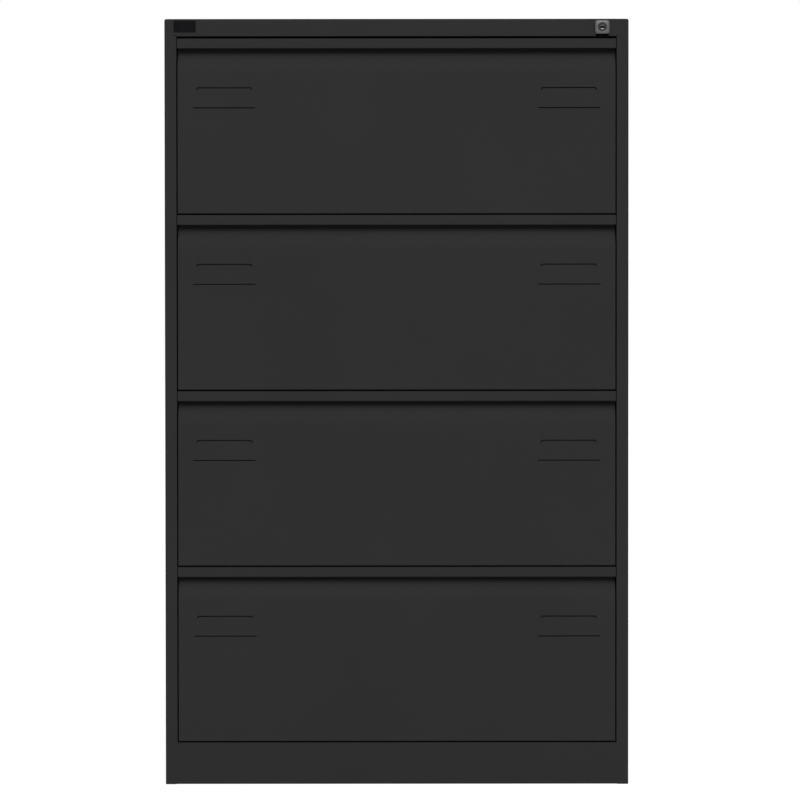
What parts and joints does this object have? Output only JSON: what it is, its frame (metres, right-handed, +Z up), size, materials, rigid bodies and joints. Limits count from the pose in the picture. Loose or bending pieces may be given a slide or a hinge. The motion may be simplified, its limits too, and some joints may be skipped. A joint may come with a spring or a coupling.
{
  "type": "lateral filing cabinet",
  "caption": "Tall black steel filing cabinet with full-width drawers on telescopic slides, grip lips, label slits and one lock that works a bar down the side.",
  "frame": {"origin": "on the floor, under the middle of the box around the cabinet, which runs from the lock's face to the back", "axes": "+Z up, the drawer fronts face -Y, the lock is on the +X side"},
  "size_m": [0.8, 0.627, 1.321],
  "materials": {
    "carcass_paint": "black powder coat, fine texture, satin",
    "drawer_paint": "black powder coat, fine texture, satin",
    "slide_zinc": "bright zinc plate",
    "lock_zinc": "satin die-cast zinc",
    "badge_gloss": "gloss black, bare"
  },
  "bodies": {
    "cabinet": {"left_side_panel": "carcass_paint", "right_side_panel": "carcass_paint", "top_panel": "carcass_paint", "back_panel": "carcass_paint", "base_panel": "carcass_paint", "plinth_panel": "carcass_paint", "front_upright_left": "slide_zinc", "front_upright_right": "slide_zinc", "rear_upright_left": "slide_zinc", "rear_upright_right": "slide_zinc", "lock_housing": "lock_zinc", "lock_nut": "slide_zinc", "badge_plate": "badge_gloss", "drawer_1_slide_outer_left": "slide_zinc", "drawer_1_slide_outer_right": "slide_zinc", "drawer_2_slide_outer_left": "slide_zinc", "drawer_2_slide_outer_right": "slide_zinc", "drawer_3_slide_outer_left": "slide_zinc", "drawer_3_slide_outer_right": "slide_zinc", "drawer_4_slide_outer_left": "slide_zinc", "drawer_4_slide_outer_right": "slide_zinc"},
    "drawer_1": {"drawer_1_front": "drawer_paint", "drawer_1_liner": "drawer_paint", "drawer_1_tray": "drawer_paint", "drawer_1_back": "drawer_paint", "drawer_1_centre_rail": "drawer_paint", "drawer_1_slide_inner_left": "slide_zinc", "drawer_1_slide_inner_right": "slide_zinc"},
    "drawer_2": {"drawer_2_front": "drawer_paint", "drawer_2_liner": "drawer_paint", "drawer_2_tray": "drawer_paint", "drawer_2_back": "drawer_paint", "drawer_2_centre_rail": "drawer_paint", "drawer_2_slide_inner_left": "slide_zinc", "drawer_2_slide_inner_right": "slide_zinc"},
    "drawer_3": {"drawer_3_front": "drawer_paint", "drawer_3_liner": "drawer_paint", "drawer_3_tray": "drawer_paint", "drawer_3_back": "drawer_paint", "drawer_3_centre_rail": "drawer_paint", "drawer_3_slide_inner_left": "slide_zinc", "drawer_3_slide_inner_right": "slide_zinc"},
    "drawer_4": {"drawer_4_front": "drawer_paint", "drawer_4_liner": "drawer_paint", "drawer_4_tray": "drawer_paint", "drawer_4_back": "drawer_paint", "drawer_4_centre_rail": "drawer_paint", "drawer_4_slide_inner_left": "slide_zinc", "drawer_4_slide_inner_right": "slide_zinc"},
    "slide_stage_1": {"drawer_1_slide_mid_left": "slide_zinc", "drawer_1_slide_mid_right": "slide_zinc"},
    "slide_stage_2": {"drawer_2_slide_mid_left": "slide_zinc", "drawer_2_slide_mid_right": "slide_zinc"},
    "slide_stage_3": {"drawer_3_slide_mid_left": "slide_zinc", "drawer_3_slide_mid_right": "slide_zinc"},
    "slide_stage_4": {"drawer_4_slide_mid_left": "slide_zinc", "drawer_4_slide_mid_right": "slide_zinc"},
    "lock_plug": {"lock_core": "lock_zinc", "lock_cam": "carcass_paint"},
    "lock_bar": {"lock_bar": "carcass_paint"}
  },
  "joints": [
    {"name": "drawer_1_slide", "type": "slide", "parent": "cabinet", "child": "drawer_1", "axis": [0, -1, 0], "range_m": [0, 0.54]},
    {"name": "drawer_2_slide", "type": "slide", "parent": "cabinet", "child": "drawer_2", "axis": [0, -1, 0], "range_m": [0, 0.54]},
    {"name": "drawer_3_slide", "type": "slide", "parent": "cabinet", "child": "drawer_3", "axis": [0, -1, 0], "range_m": [0, 0.54]},
    {"name": "drawer_4_slide", "type": "slide", "parent": "cabinet", "child": "drawer_4", "axis": [0, -1, 0], "range_m": [0, 0.54]},
    {"name": "slide_stage_1_slide", "type": "slide", "parent": "cabinet", "child": "slide_stage_1", "axis": [0, -1, 0], "range_m": [0, 0.27]},
    {"name": "slide_stage_2_slide", "type": "slide", "parent": "cabinet", "child": "slide_stage_2", "axis": [0, -1, 0], "range_m": [0, 0.27]},
    {"name": "slide_stage_3_slide", "type": "slide", "parent": "cabinet", "child": "slide_stage_3", "axis": [0, -1, 0], "range_m": [0, 0.27]},
    {"name": "slide_stage_4_slide", "type": "slide", "parent": "cabinet", "child": "slide_stage_4", "axis": [0, -1, 0], "range_m": [0, 0.27]},
    {"name": "lock_bar_lift", "type": "slide", "parent": "cabinet", "child": "lock_bar", "axis": [0, 0, 1], "range_m": [0, 0.012]},
    {"name": "lock_turn", "type": "hinge", "parent": "cabinet", "child": "lock_plug", "pos_m": [0.3544, -0.3085, 1.30615], "axis": [0, -1, 0], "range_deg": [0, 90.1]}
  ],
  "couplings": [
    {"joint": "slide_stage_1_slide", "follows": "drawer_1_slide", "ratio": 0.5},
    {"joint": "slide_stage_2_slide", "follows": "drawer_2_slide", "ratio": 0.5},
    {"joint": "slide_stage_3_slide", "follows": "drawer_3_slide", "ratio": 0.5},
    {"joint": "slide_stage_4_slide", "follows": "drawer_4_slide", "ratio": 0.5},
    {"joint": "lock_turn", "follows": "lock_bar_lift", "rad_per_m": 130.9}
  ]
}
